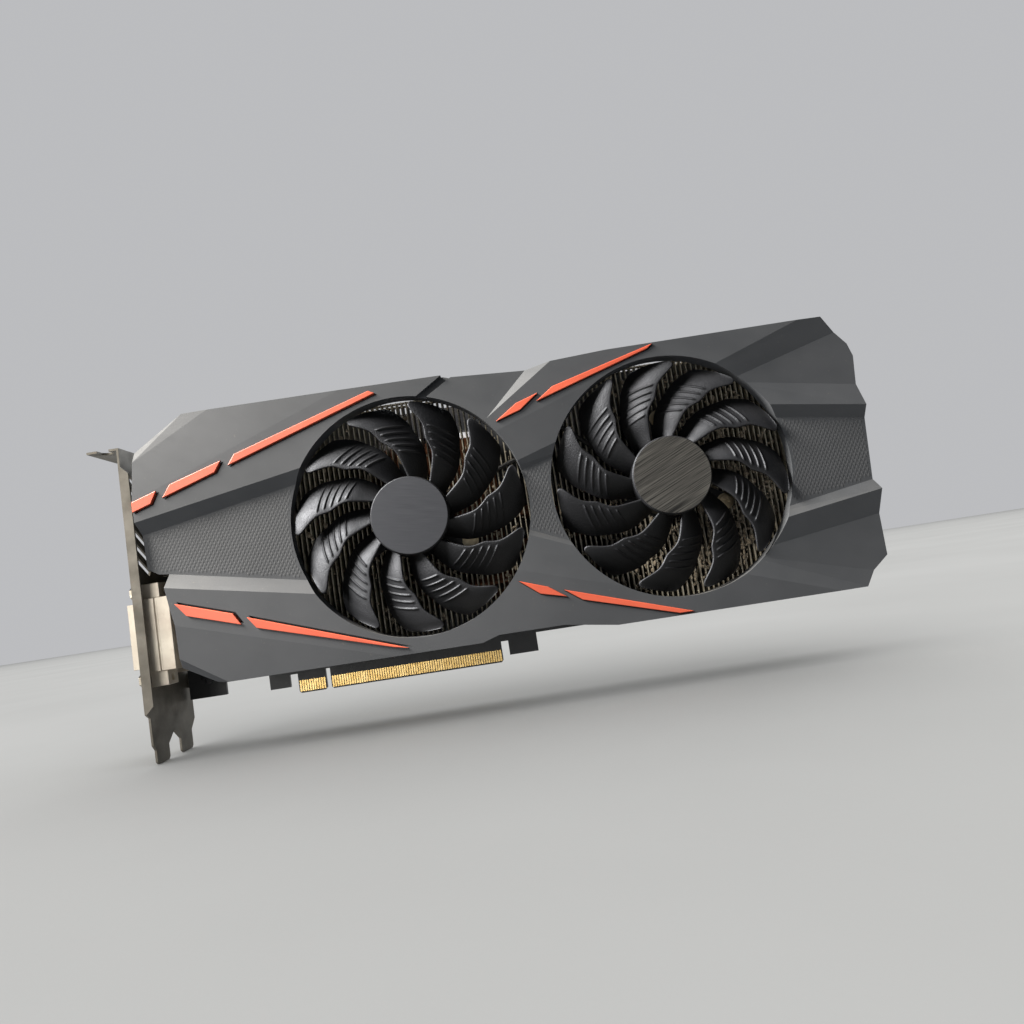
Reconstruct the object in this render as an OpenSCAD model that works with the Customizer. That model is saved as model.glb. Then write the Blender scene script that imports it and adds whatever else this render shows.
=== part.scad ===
// Dual-slot graphics card with two axial fans.
// X runs along the card from the bracket's outer face, Z points up from the edge contacts,
// and the fans face -Y. "Depth" below means the distance in front of the circuit board, along -Y.

/* [Bracket] */
// Thickness of the bracket's sheet steel
sheet_t = 0.86; // [0.7:0.02:1.0]
// Width of the two-slot bracket
bracket_w = 38.74; // [38.5:0.02:39]
// Distance from the board's front face to the bracket's back edge
bracket_back = 4.54; // [4:0.02:5]
// Top of the bent screw tab
tab_top = 105; // [104.5:0.1:105.5]
// Full height of the bracket
bracket_h = 120.02; // [119.8:0.02:120.2]
// How far the screw tab stands out
tab_out = 11.43; // [11:0.01:12]

/* [Circuit board] */
// Thickness of the board
board_t = 1.57; // [1.4:0.01:1.7]
// End of the board away from the bracket
board_end = 262; // [255:1:270]
// Left edge of the contact tongue
contact_x = 47.35; // [47.2:0.05:47.5]
// Spacing of the gold contacts
contact_pitch = 1; // [0.9:0.05:1]
// Width of one gold contact
contact_w = 0.7; // [0.5:0.05:0.8]

/* [Fans] */
// Radius of each opening in the shroud
opening_r = 45.45; // [45:0.05:46]
// Distance between the two fan axes
fan_spacing = 99.77; // [99:0.01:100.5]
// Place of the first fan's axis along the card
fan_x = 107.25; // [106.5:0.05:108]
// Height of the fan axes above the contacts
fan_z = 62.45; // [62:0.05:63]
// Radius at the blade tips
blade_tip_r = 43.7; // [40:0.1:44]
// Number of blades on each fan
blade_count = 11; // [7:1:11]
// Outer radius of the hub cup
hub_r = 15; // [14.5:0.1:15.5]
// Shaft radius
shaft_r = 1.5; // [1.2:0.05:1.6]
// Radial clearance of the shaft in its bearing
shaft_gap = 0.05; // [0.02:0.01:0.1]

/* [Heatsink] */
// Distance between neighbouring fins
fin_pitch = 2; // [1.8:0.1:3]
// Thickness of one fin
fin_t = 0.4; // [0.3:0.05:0.6]
// Radius of the heat pipes
pipe_r = 3; // [2.5:0.1:3]

/* [Shroud] */
// Depth of the shroud's front face
face_depth = 34.5; // [34:0.1:35]
// How far the textured bands are sunk
band_sink = 2.5; // [1.5:0.1:3]
// How far the coloured strips stand proud
strip_proud = 0.5; // [0.2:0.1:0.8]

/* [Hidden] */
$fn = 48;

slot_pitch = 20.32;
bracket_front = bracket_w - bracket_back;      // depth of the bracket's front edge
tongue_w = 10.19;
tongue_tip = tab_top - bracket_h;
tongue_low = tongue_tip + 7.3;                 // where the tongues leave the wide plate
near_tongue = bracket_front - 4.4;             // front edge of the fan-side tongue, as a depth
notch_w = 4.42;
notch_run = 3;
notch_x = 0.6 - tab_out / 2;                   // centre of the screw notches, over the tab
lug_spots = [12, 99];                          // heights of the bracket's lugs on the board
lug_hole_x = 10;
lug_hole_r = 1.6;
flange_w = 3.6;
flange_low = 4;
flange_top = 97.7;

far_fan_x = fan_x + fan_spacing;
screw_ring_r = 24;
screw_angles = [-30.5, 89.5, 209.5];
cup_back = 24;                                 // open rim of the hub cup
cup_front = 34;
cup_wall = 1.4;
frame_back = 21.2;
frame_front = 22.8;
label_t = 0.4;

key_x = contact_x + 11.65;
key_w = 1.9;
tongue_end = key_x + key_w + 71.65;

fin_z = [15, 109];
fin_front = 21;
fin_back = 6;
near_fins = [22, 153.4];
far_fins = [162, 270];
pipe_depth = 8.5;
pipe_run = [98, 86, 74];                       // heights of the pipes at the bracket end
pipe_turn_x = 70;                              // where the pipes start to slant
pipe_slant = 50;
pipe_bend = 18;
slant_run = 34;
pipe_drop = 2 * pipe_bend * (1 - cos(pipe_slant)) + slant_run * sin(pipe_slant);

chip = [107, 60];                              // centre of the graphics chip
cooler_hole = 29;                              // half spacing of the cooler's spring screws
spring_h = 2.6;
board_hole_r = 1.6;
chip_size = 37.5;
die_size = [16, 12.5];
spacer_spots = [[150, 101], [255, 98], [255, 16]];

dvi_z = 32.9;                                  // centre of the DVI connector
dvi_depth = 25.2;
jack_spacing = 33.3;
jack_hole_r = 1.42;
socket_h = 5.6;                                // outer height of the HDMI and DisplayPort shells
hdmi_w = 15;
port_w = 16.4;
socket_t = 0.4;
low_row = 6.2;                                 // depth of the lower row of sockets
hdmi_z = 24;
port_z = [44, 64, 84];

plate_back = face_depth - 4;
skirt_back = 24;
skirt_t = 1.9;
collar_back = 27;
collar_t = 1.6;

// ---------------------------------------------------------------- helpers

// Block between two corners, each side given as [low, high]: along X, along Z, and in depth.
module slab(x, z, d) translate([x[0], -d[1], z[0]]) cube([x[1] - x[0], d[1] - d[0], z[1] - z[0]]);

// Children drawn in the plane of the fans: X right, Y up, Z towards the viewer.
module facing() rotate([90, 0, 0]) children();

module at_fan(x) translate([x, 0, fan_z]) facing() children();

// Cylinder between two depths, its axis in depth.
module post(x, z, r, d)
  translate([x, 0, z]) facing() translate([0, 0, d[0]]) cylinder(r = r, h = d[1] - d[0]);

// Outline in X and Z, extruded between two depths.
module panel(points, d) facing() translate([0, 0, d[0]]) linear_extrude(d[1] - d[0]) polygon(points);

// Tube with a ring of points square to the route at each of its points.
function unit(v) = v / norm(v);
function heading(path, i) = unit(path[min(i + 1, len(path) - 1)] - path[max(i - 1, 0)]);
module swept_tube(path, r, sides) {
  n = len(path);
  rings = [for (i = [0 : n - 1]) let (
    h = heading(path, i),
    u = unit(cross(h, [0, 0.1, 1])),
    v = cross(h, u)
  ) for (k = [0 : sides - 1]) path[i] + r * (cos(k * 360 / sides) * u + sin(k * 360 / sides) * v)];
  function id(i, k) = i * sides + k % sides;
  faces = concat(
    [for (i = [0 : n - 2]) for (k = [0 : sides - 1]) [id(i, k), id(i, k + 1), id(i + 1, k + 1)]],
    [for (i = [0 : n - 2]) for (k = [0 : sides - 1]) [id(i, k), id(i + 1, k + 1), id(i + 1, k)]],
    [[for (k = [sides - 1 : -1 : 0]) k]],
    [[for (k = [0 : sides - 1]) id(n - 1, k)]]
  );
  polyhedron(rings, faces, convexity = 6);
}

// ---------------------------------------------------------------- bracket and its sockets

// Outline of the plate, as [depth, height].
plate_outline = [
  [-bracket_back, tab_top - sheet_t], [bracket_front, tab_top - sheet_t], [bracket_front, flange_low],
  [bracket_front - 2.4, 2.5], [bracket_front - 2.6, tongue_low],
  [near_tongue, tongue_low - 2], [near_tongue, tongue_tip + 1], [near_tongue - 1, tongue_tip],
  [near_tongue - tongue_w + 1, tongue_tip], [near_tongue - tongue_w, tongue_tip + 1],
  [near_tongue - tongue_w, tongue_low - 1.5], [near_tongue - slot_pitch / 2 - tongue_w / 2, tongue_low + 2.5],
  [near_tongue - slot_pitch, tongue_low - 1.5], [near_tongue - slot_pitch, tongue_tip + 1],
  [near_tongue - slot_pitch - 1, tongue_tip], [near_tongue - slot_pitch - tongue_w + 1, tongue_tip],
  [near_tongue - slot_pitch - tongue_w, tongue_tip + 1], [near_tongue - slot_pitch - tongue_w, tongue_low],
  [-bracket_back, tongue_low + 4]
];

// Outline in depth and Z, extruded along X.
module plate(points, x) translate([x[0], 0, 0]) rotate([90, 0, 90]) linear_extrude(x[1] - x[0])
  polygon([for (p = points) [-p[0], p[1]]]);

module vent_slots() {
  for (i = [0 : 6]) translate([-1, -dvi_depth, 60 + 5.4 * i]) rotate([-32, 0, 0])
    translate([0, -6.2, -1.1]) cube([3, 12.4, 2.2]);
}

// Notch in the screw tab: a slot between two depths with round ends.
module screw_notch(d) {
  slab([notch_x - notch_w / 2, notch_x + notch_w / 2], [tab_top - 2, tab_top + 1], d);
  for (end = d) translate([notch_x, -end, tab_top - 2]) cylinder(d = notch_w, h = 3);
}

module bracket() color([0.62, 0.60, 0.57]) {
  difference() {
    union() {
      plate(plate_outline, [0, sheet_t]);
      slab([-tab_out, sheet_t], [tab_top - sheet_t, tab_top], [-bracket_back, bracket_front]);
      difference() {
        slab([0, flange_w], [flange_low, flange_top], [bracket_front - sheet_t, bracket_front]);
        for (z = [flange_low, flange_top])
          translate([flange_w, -bracket_front - 1, z]) rotate([0, 45, 0]) cube([4, 4, 4], center = true);
      }
      for (z = lug_spots) slab([0, 14], [z - 3, z + 3], [-board_t - sheet_t, -board_t]);
    }
    vent_slots();
    for (edge = [bracket_front, bracket_front - slot_pitch]) screw_notch([edge - notch_run, edge]);
    slab([-1, 2], [dvi_z - 12.4, dvi_z + 12.4], [dvi_depth - 4.6, dvi_depth + 4.6]);
    for (s = [-1, 1]) translate([-1, -dvi_depth, dvi_z + s * jack_spacing / 2]) rotate([0, 90, 0])
      cylinder(r = 2.3, h = 3);
    socket_window(hdmi_z, hdmi_w);
    for (z = port_z) socket_window(z, port_w);
    for (z = lug_spots) post(lug_hole_x, z, lug_hole_r, [-board_t - 3, 0]);
  }
}

module bracket_screws() color([0.25, 0.25, 0.27]) for (z = lug_spots) {
  post(lug_hole_x, z, lug_hole_r - 0.1, [-board_t - 2, 0]);
  difference() {
    post(lug_hole_x, z, 2.6, [0, 1.4]);
    slab([lug_hole_x - 2, lug_hole_x + 2], [z - 0.3, z + 0.3], [0.9, 2]);
    slab([lug_hole_x - 0.3, lug_hole_x + 0.3], [z - 2, z + 2], [0.9, 2]);
  }
}

module dvi_shell() color([0.66, 0.64, 0.60]) {
  difference() {
    slab([sheet_t, 12], [dvi_z - 13.8, dvi_z + 13.8], [dvi_depth - 5.6, dvi_depth + 5.6]);
    slab([0, 11], [dvi_z - 12, dvi_z + 12], [dvi_depth - 4.2, dvi_depth + 4.2]);
    slab([6.2, 7.2], [dvi_z - 14, dvi_z + 14], [dvi_depth + 5, dvi_depth + 6]);
  }
  difference() {
    slab([-4.6, sheet_t], [dvi_z - 12.3, dvi_z + 12.3], [dvi_depth - 4.5, dvi_depth + 4.5]);
    slab([-5, 2], [dvi_z - 11.6, dvi_z + 11.6], [dvi_depth - 3.8, dvi_depth + 3.8]);
  }
  for (s = [-1, 1]) difference() {
    slab([sheet_t, 8], [dvi_z + s * jack_spacing / 2 - 2.8, dvi_z + s * jack_spacing / 2 + 2.8],
         [dvi_depth - 4, dvi_depth + 4]);
    translate([0, -dvi_depth, dvi_z + s * jack_spacing / 2]) rotate([0, 90, 0]) cylinder(r = 1.45, h = 12);
  }
  slab([12, 14], [dvi_z - 13.8, dvi_z + 13.8], [dvi_depth - 5.6, dvi_depth - 3.2]);
  difference() {
    slab([14, 21], [dvi_z - 13.8, dvi_z + 13.8], [0, dvi_depth - 3.2]);
    slab([15, 20], [dvi_z - 12.8, dvi_z + 12.8], [-1, dvi_depth - 4.2]);
  }
}

module dvi_insert() color([0.93, 0.93, 0.90]) difference() {
  slab([-3.4, 11], [dvi_z - 11, dvi_z + 11], [dvi_depth - 3.2, dvi_depth + 3.2]);
  for (row = [-1 : 1]) for (i = [0 : 7])
    translate([-4, -dvi_depth + row * 1.9 - 0.4, dvi_z - 9.2 + i * 1.9]) cube([6, 0.8, 0.8]);
  translate([-4, -dvi_depth - 2.4, dvi_z + 8]) cube([6, 4.8, 1]);
}

module dvi_jack_screws() color([0.72, 0.70, 0.66]) for (s = [-1, 1])
  translate([0, -dvi_depth, dvi_z + s * jack_spacing / 2]) rotate([0, 90, 0]) difference() {
    union() {
      translate([0, 0, -4.2]) cylinder(r = 2.75, h = 4.2, $fn = 6);
      cylinder(r = 1.4, h = 7);
    }
    translate([0, 0, -5]) cylinder(r = jack_hole_r, h = 4);
    translate([0, 0, -1.1]) cylinder(r = 1.1, h = 5);
  }

// Block around a socket of the lower row, grown by a margin.
module socket_block(z, w, x, grow) slab(x, [z - w / 2 - grow, z + w / 2 + grow],
  [low_row - socket_h / 2 - grow, low_row + socket_h / 2 + grow]);

module socket_window(z, w) socket_block(z, w, [-1, 2], 0.1);

// Sheet-metal socket shell with an open mouth at the bracket.
module socket_shell(z, w, length) difference() {
  socket_block(z, w, [-0.6, length], 0);
  socket_block(z, w, [-1, length - 0.5], -socket_t);
}

// Contact tongue in the middle of a socket.
module socket_tongue(z, w, length)
  slab([2, length - 0.5], [z - w / 2, z + w / 2], [low_row - 0.6, low_row + 0.6]);

hdmi_length = 12;
port_length = 13;
module hdmi_shell() color([0.70, 0.68, 0.64]) socket_shell(hdmi_z, hdmi_w, hdmi_length);
module hdmi_tongue() color([0.08, 0.08, 0.08]) socket_tongue(hdmi_z, 10.4, hdmi_length);
module displayport_shells() color([0.70, 0.68, 0.64]) for (z = port_z) socket_shell(z, port_w, port_length);
module displayport_tongues() color([0.08, 0.08, 0.08]) for (z = port_z) socket_tongue(z, 11.6, port_length);

// ---------------------------------------------------------------- circuit board

board_outline = [
  [2, 106], [board_end, 106], [board_end, 10], [147.5, 10], [147.5, 2.5], [tongue_end + 3, 2.5],
  [tongue_end + 3, 8.4], [tongue_end, 8.4], [tongue_end, 0.8], [tongue_end - 0.8, 0],
  [key_x + key_w + 0.8, 0], [key_x + key_w, 0.8], [key_x + key_w, 8.4], [key_x, 8.4], [key_x, 0.8],
  [key_x - 0.8, 0], [contact_x + 0.8, 0], [contact_x, 0.8], [contact_x, 8], [44, 8], [44, 3], [35.5, 3],
  [35.5, 9], [17.4, 9], [17.4, 4], [2, 4]
];

module circuit_board() color([0.05, 0.05, 0.07]) difference() {
  panel(board_outline, [-board_t, 0]);
  for (z = lug_spots) post(lug_hole_x, z, lug_hole_r, [-3, 1]);
  for (s = [-1, 1]) for (t = [-1, 1])
    post(chip[0] + s * cooler_hole, chip[1] + t * cooler_hole, board_hole_r, [-3, 1]);
  for (p = spacer_spots) post(p[0], p[1], board_hole_r, [-3, 1]);
}

module contact_row(x, count, d) for (i = [0 : count - 1])
  slab([x + 0.45 + i * contact_pitch, x + 0.45 + i * contact_pitch + contact_w], [0.6, 5.1], d);

module edge_contacts() color([0.86, 0.66, 0.25]) for (d = [[0, 0.04], [-board_t - 0.04, -board_t]]) {
  contact_row(contact_x, 11, d);
  contact_row(key_x + key_w, 71, d);
}

module graphics_chip_base() color([0.10, 0.28, 0.16])
  slab([chip[0] - chip_size / 2, chip[0] + chip_size / 2],
       [chip[1] - chip_size / 2, chip[1] + chip_size / 2], [0, 1.4]);
module graphics_chip_die() color([0.35, 0.36, 0.40])
  slab([chip[0] - die_size[0] / 2, chip[0] + die_size[0] / 2],
       [chip[1] - die_size[1] / 2, chip[1] + die_size[1] / 2], [1.4, 2.2]);

memory_spots = [[75, 42], [75, 58], [75, 74], [86.5, 91], [107, 91], [127.5, 91]];
module memory_block(size, d) for (p = memory_spots)
  slab([p[0] - size[0] / 2, p[0] + size[0] / 2], [p[1] - size[1] / 2, p[1] + size[1] / 2], d);
module memory_chips() color([0.06, 0.06, 0.06]) memory_block([12, 14], [0, 1.1]);
module memory_pads() color([0.60, 0.62, 0.66]) memory_block([11, 12], [1.1, 2.2]);

choke_spots = [for (i = [0 : 5]) [184 + 11.5 * i, 84]];
module power_chokes() color([0.22, 0.22, 0.24]) for (p = choke_spots)
  slab([p[0] - 4.8, p[0] + 4.8], [p[1] - 4.8, p[1] + 4.8], [0, 4.4]);
module power_transistors() color([0.07, 0.07, 0.08]) for (p = choke_spots) for (z = [70, 63])
  slab([p[0] - 2.8, p[0] + 2.8], [z - 2.6, z + 2.6], [0, 1]);
module power_capacitors() color([0.72, 0.73, 0.76]) for (p = choke_spots) for (z = [45, 34])
  post(p[0], z, 3.15, [0, 5.4]);
module small_parts() color([0.55, 0.47, 0.38]) {
  for (i = [0 : 10]) slab([24 + i * 3.6, 25.8 + i * 3.6], [24, 25], [0, 0.7]);
  for (i = [0 : 15]) slab([64 + i * 4.4, 65.8 + i * 4.4], [13.6, 14.6], [0, 0.7]);
  for (i = [0 : 9]) slab([182 + i * 6, 185 + i * 6], [54, 56], [0, 1.2]);
  for (i = [0 : 3]) slab([30 + i * 9, 36 + i * 9], [38, 44], [0, 1.1]);
}

power_x = [226, 245];
module power_socket() color([0.07, 0.07, 0.07]) difference() {
  slab(power_x, [97, 111], [0, 10.4]);
  for (i = [0 : 3]) for (row = [0, 1])
    slab([power_x[0] + 1.3 + i * 4.2, power_x[0] + 4.9 + i * 4.2], [99, 112],
         [1.1 + row * 4.4, 4.7 + row * 4.4]);
}
module power_pins() color([0.80, 0.72, 0.50]) for (i = [0 : 3]) for (row = [0, 1])
  slab([power_x[0] + 2.6 + i * 4.2, power_x[0] + 3.6 + i * 4.2], [99, 107],
       [2.4 + row * 4.4, 3.4 + row * 4.4]);

header_z = [84, 97];
header_x = 159;
module fan_headers() color([0.85, 0.84, 0.78]) for (z = header_z) difference() {
  slab([header_x - 2.6, header_x + 2.6], [z - 4, z + 4], [0, 4.6]);
  slab([header_x - 1.8, header_x + 1.8], [z - 3.2, z + 3.2], [1, 6]);
}

// ---------------------------------------------------------------- cooler

module cold_plate() color([0.72, 0.42, 0.28]) difference() {
  slab([chip[0] - 34, chip[0] + 34], [chip[1] - 34, chip[1] + 34], [2.2, 5.45]);
  for (s = [-1, 1]) for (t = [-1, 1])
    post(chip[0] + s * cooler_hole, chip[1] + t * cooler_hole, 1.45, [0, 6]);
}

// Route of one pipe as [x, height]: straight, slanting down over the chip, then straight to the far end.
function pipe_route(z) = let (
  down = pipe_bend * (1 - cos(pipe_slant)),
  along = pipe_bend * sin(pipe_slant),
  low = [pipe_turn_x + along + slant_run * cos(pipe_slant), z - down - slant_run * sin(pipe_slant)]
) concat(
  [[near_fins[0] + 2, z]],
  [for (t = [0 : 10 : pipe_slant]) [pipe_turn_x + pipe_bend * sin(t), z - pipe_bend * (1 - cos(t))]],
  [for (t = [pipe_slant : -10 : 0]) low + [along - pipe_bend * sin(t), pipe_bend * (1 - cos(t)) - down]],
  [[far_fins[1] - 1, z - pipe_drop]]
);

module heat_pipes() color([0.74, 0.40, 0.24]) for (z = pipe_run)
  facing() swept_tube([for (p = pipe_route(z)) [p[0], p[1], pipe_depth]], pipe_r, 16);

// Fins joined by the folded strips along their ends, with bosses for the fan screws.
module fin_stack(span, fan, lugs, depth_back, pipes) {
  count = floor((span[1] - span[0] - fin_t) / fin_pitch);
  difference() {
    union() {
      for (i = [0 : count]) slab([span[0] + i * fin_pitch, span[0] + i * fin_pitch + fin_t], fin_z,
        [depth_back(span[0] + i * fin_pitch), fin_front]);
      for (z = [fin_z[0], fin_z[1] - 0.4]) for (d = [12.4, 18])
        slab([span[0], span[0] + count * fin_pitch + fin_t], [z, z + 0.4], [d, d + 2.4]);
      for (a = screw_angles)
        post(fan + screw_ring_r * cos(a), fan_z + screw_ring_r * sin(a), 3, [13, frame_back]);
      for (x = lugs) for (z = [[fin_z[0] - lug_h, fin_z[0] + 3], [fin_z[1] - 3, fin_z[1] + lug_h]])
        slab([x - 3.2, x + 3.2], z, [13.5, 18.5]);
    }
    for (x = lugs) translate([x, -tab_screw_depth, fin_z[0] - 5])
      cylinder(r = 1.35, h = fin_z[1] - fin_z[0] + 10);
    slab([power_x[0] - 2, power_x[1] + 2], [95, 112], [5, 11.4]);
    for (a = screw_angles)
      post(fan + screw_ring_r * cos(a), fan_z + screw_ring_r * sin(a), 1.3, [12, frame_back + 1]);
    for (z = pipes) translate([span[0] - 1, -pipe_depth, z]) rotate([0, 90, 0])
      cylinder(r = pipe_r + 0.05, h = span[1] - span[0] + 2);
  }
}

// The fins over the chip stop in front of the bent part of the pipes.
module near_fin_stack() color([0.80, 0.79, 0.76])
  fin_stack(near_fins, fan_x, [lug_x[0]], function(x) x > 68 ? 12.2 : fin_back, pipe_run);
module far_fin_stack() color([0.80, 0.79, 0.76])
  fin_stack(far_fins, far_fan_x, [lug_x[1]], function(x) fin_back, [for (z = pipe_run) z - pipe_drop]);

module at_cooler_holes() for (s = [-1, 1]) for (t = [-1, 1])
  translate([chip[0] + s * cooler_hole, 0, chip[1] + t * cooler_hole]) facing() children();

module cooler_screws() color([0.45, 0.45, 0.47]) at_cooler_holes() {
  translate([0, 0, -board_t - spring_h]) cylinder(r = 1.4, h = board_t + spring_h + 4.8);
  translate([0, 0, -board_t - spring_h - 1.2]) cylinder(r = 3, h = 1.2);
}

module cooler_springs() color([0.70, 0.70, 0.72]) at_cooler_holes() for (k = [0 : 2])
  translate([0, 0, -board_t - spring_h + 0.1 + k * 0.9]) difference() {
    cylinder(r = 2.4, h = 0.6);
    translate([0, 0, -1]) cylinder(r = 1.7, h = 3);
  }

// ---------------------------------------------------------------- shroud

// The front is one folded sheet. Points are [x, height, rise], where rise is measured from the front face.
sunk = -band_sink;
rim = [
  // left edge and upper left corner
  [4, 75.5, 0], [4, 83.5, 0], [5.5, 98.5, -0.4], [6.5, 102, -0.9], [26, 114.5, -0.9], [36, 114.5, -0.5],
  [87, 114, 0], [127, 113.5, 0], [130, 112.5, -1], [158.5, 111, -2.5], [168.5, 112.5, 0], [190, 113.5, 0],
  // upper right corner and right edge
  [263.5, 113.5, 0], [272.5, 113.5, -0.6], [277, 107, -2], [281, 102, -2], [282.5, 97, -2],
  [281.5, 86, -2], [283, 77.5, 0], [282.5, 73, sunk], [281, 49.5, sunk], [282.7, 45.5, 0],
  [280.5, 36.5, -1.5], [280.5, 21, -1.5], [274.5, 16, -1.5], [271, 10.5, -0.8],
  // lower edge
  [261, 10.5, 0], [178, 10.5, 0], [158.5, 13.5, 0], [134, 13.5, 0], [127.5, 11.5, 0], [95, 11.5, 0],
  // lower left corner and the recess beside the DVI connector
  [32, 11.5, -1.2], [27.5, 12, -2.5], [15, 19, -2.5], [15, 22.5, -0.8], [15, 35, 0], [14, 40, 0],
  [12.5, 49.5, 0], [14, 54.5, sunk], [10, 55, sunk], [6, 57.5, sunk], [5.5, 70.5, sunk]
];
// Ends of the fold lines; all but two lie inside the fan openings.
folds = [
  // left opening, towards the bracket
  [80, 88.5, 0], [80, 83.5, sunk], [80, 41.5, sunk], [80, 36.5, 0],
  // left opening, towards the middle
  [135, 86, 0], [135, 72, -0.8], [135, 69, sunk], [135, 57.5, sunk], [135, 55, -0.8], [135, 39, 0],
  // foot of the wedge and foot of the groove
  [141.5, 94.5, 0], [121, 107.5, 0],
  // right opening, towards the middle
  [198.5, 107, 0], [180, 86, -0.8], [180, 80.5, sunk], [180, 37.5, sunk], [180, 36, -0.8], [185, 23.5, 0],
  // right opening, towards the far end
  [215, 96.5, 0], [215, 89.5, -1.3], [235, 94, -1.5], [235, 85, 0], [235, 80.5, sunk], [235, 42, sunk],
  [235, 38.5, 0], [227.5, 29, -1.5], [215, 26, 0]
];
rim_n = len(rim);
function f(i) = rim_n + i;
// Each facet is a fan of triangles about its first point.
facets = [
  // left panels, sunk band and its walls
  [2, 3, 4, 5], [1, 2, 5, 6], [6, 7, f(11), f(10), f(4), f(0), 0, 1], [42, 0, f(0), f(1)],
  [f(1), f(2), 39, 40, 41, 42], [38, 39, f(2), f(3)],
  // middle: triangular panel, wedge, panels and sunk band
  [7, 8, f(11)], [f(11), 8, 9, f(10)], [9, 10, f(10)], [f(12), f(4), f(10), 10, 11, 12, f(18)],
  [f(4), f(12), f(13), f(5)], [f(5), f(13), f(14), f(6)], [f(6), f(14), f(15), f(7)],
  [f(7), f(15), f(16), f(8)], [f(8), f(16), f(17), f(9)],
  // lower panels
  [f(3), f(9), 29, 30, 31, 36, 37, 38], [f(9), f(17), 27, 28, 29], [f(17), f(26), 26, 27],
  [36, 31, 32, 35], [35, 32, 33, 34],
  // far end
  [f(18), 12, 13, 14, f(19)], [f(20), f(19), 14, 15, 16, 17], [f(20), 17, 18, f(21)],
  [f(21), 18, 19, f(22)], [f(22), 19, 20, f(23)], [f(23), 20, 21, f(24)], [f(24), 21, 22, f(25)],
  [f(25), 22, 23, 24], [f(25), 24, 25, 26, f(26)],
  // inside the openings, cut away later
  [f(0), f(4), f(5), f(1)], [f(1), f(5), f(6), f(7), f(8), f(2)], [f(2), f(8), f(9), f(3)],
  [f(19), f(20), f(21), f(13), f(12), f(18)], [f(13), f(21), f(22), f(14)],
  [f(14), f(22), f(23), f(15)], [f(15), f(23), f(24), f(16)], [f(16), f(24), f(25), f(26), f(17)]
];

module folded_sheet() {
  front = [for (p = concat(rim, folds)) [p[0], p[1], face_depth + p[2]]];
  back = [for (p = rim) [p[0], p[1], skirt_back - 1]];
  all_front = len(front);
  front_faces = [for (c = facets) for (i = [1 : len(c) - 2]) [c[0], c[i], c[i + 1]]];
  sides = [for (i = [0 : rim_n - 1]) [i, all_front + i, all_front + (i + 1) % rim_n, (i + 1) % rim_n]];
  back_face = [[for (i = [rim_n - 1 : -1 : 0]) all_front + i]];
  facing() polyhedron(concat(front, back), concat(front_faces, sides, back_face), convexity = 6);
}

// Outline moved inwards by a distance, for points listed clockwise.
function inward(p, q) = [q[1] - p[1], p[0] - q[0]] / norm(q - p);
function inset(points, gap) = let (n = len(points)) [for (i = [0 : n - 1]) let (
  before = inward(points[(i + n - 1) % n], points[i]),
  after = inward(points[i], points[(i + 1) % n])
) points[i] + gap * (before + after) / (1 + before * after)];

// Hollow behind the front, which leaves a wall along the rim and a collar round each opening.
module shroud_hollow() {
  difference() {
    panel(inset([for (p = rim) [p[0], p[1]]], skirt_t), [skirt_back - 1, plate_back]);
    for (x = [fan_x, far_fan_x]) at_fan(x) translate([0, 0, collar_back])
      cylinder(r = opening_r + collar_t, h = plate_back, $fn = 120);
  }
  // everything behind the wall's rear edge
  slab([-10, 300], [-10, 130], [skirt_back - 2, skirt_back]);
  // gaps in the wall beside the DVI connector and at the far end
  slab([0, 18], [15, 62], [skirt_back - 1, plate_back]);
  slab([270, 290], [48, 75], [skirt_back - 1, plate_back]);
}

// Coloured strips: each band tapers between an upper and a lower line and is cut by slanted gaps.
// Points are [x, height].
upper_left = [
  [[4, 83.3], [13.7, 86.3], [11.2, 81.7], [4, 79.4]],
  [[19.1, 87.9], [39.4, 94], [36.6, 89.9], [15.8, 83.2]],
  [[44.7, 95.6], [98.4, 111.8], [100.6, 110.6], [41.9, 91.7]]
];
lower_left = [
  [[15.8, 43], [37.2, 36.1], [40, 31.6], [20, 37.8]],
  [[42.1, 34], [100.2, 13.9], [95.1, 14.9], [45.4, 29.6]]
];
upper_right = [
  [[144.7, 92.6], [153.2, 98.3], [161.8, 101], [154.4, 95.6]],
  [[161, 97.9], [167.8, 102.6], [207.7, 113], [205.5, 111.4]]
];
lower_right = [
  [[144.1, 31.9], [154.6, 28.2], [161, 23.6], [151.4, 26.1]],
  [[160.1, 26.3], [206.2, 11.4], [201, 11.4], [166.5, 21.6]]
];
strip_foot = face_depth - 1.6;
strip_gap = 0.06;

module strips(shapes) color([0.93, 0.28, 0.15]) for (s = shapes)
  panel(s, [strip_foot, face_depth + strip_proud]);

// A pocket clears its strip all round, and runs on in one direction to leave a dark gap beside it.
module pockets(shapes, run) for (s = shapes) for (shift = [[0, 0], run])
  panel([for (p = inset(s, -strip_gap)) p + shift], [strip_foot, face_depth + 2]);

// Tabs on the shroud's long edges lie on the lugs of the fin stacks.
lug_x = [60, 190];
lug_h = 1.4;
tab_screw_depth = 16;
tab_z = [[fin_z[0] - lug_h - 1.8, fin_z[0] - lug_h], [fin_z[1] + lug_h, fin_z[1] + lug_h + 1.8]];

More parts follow.
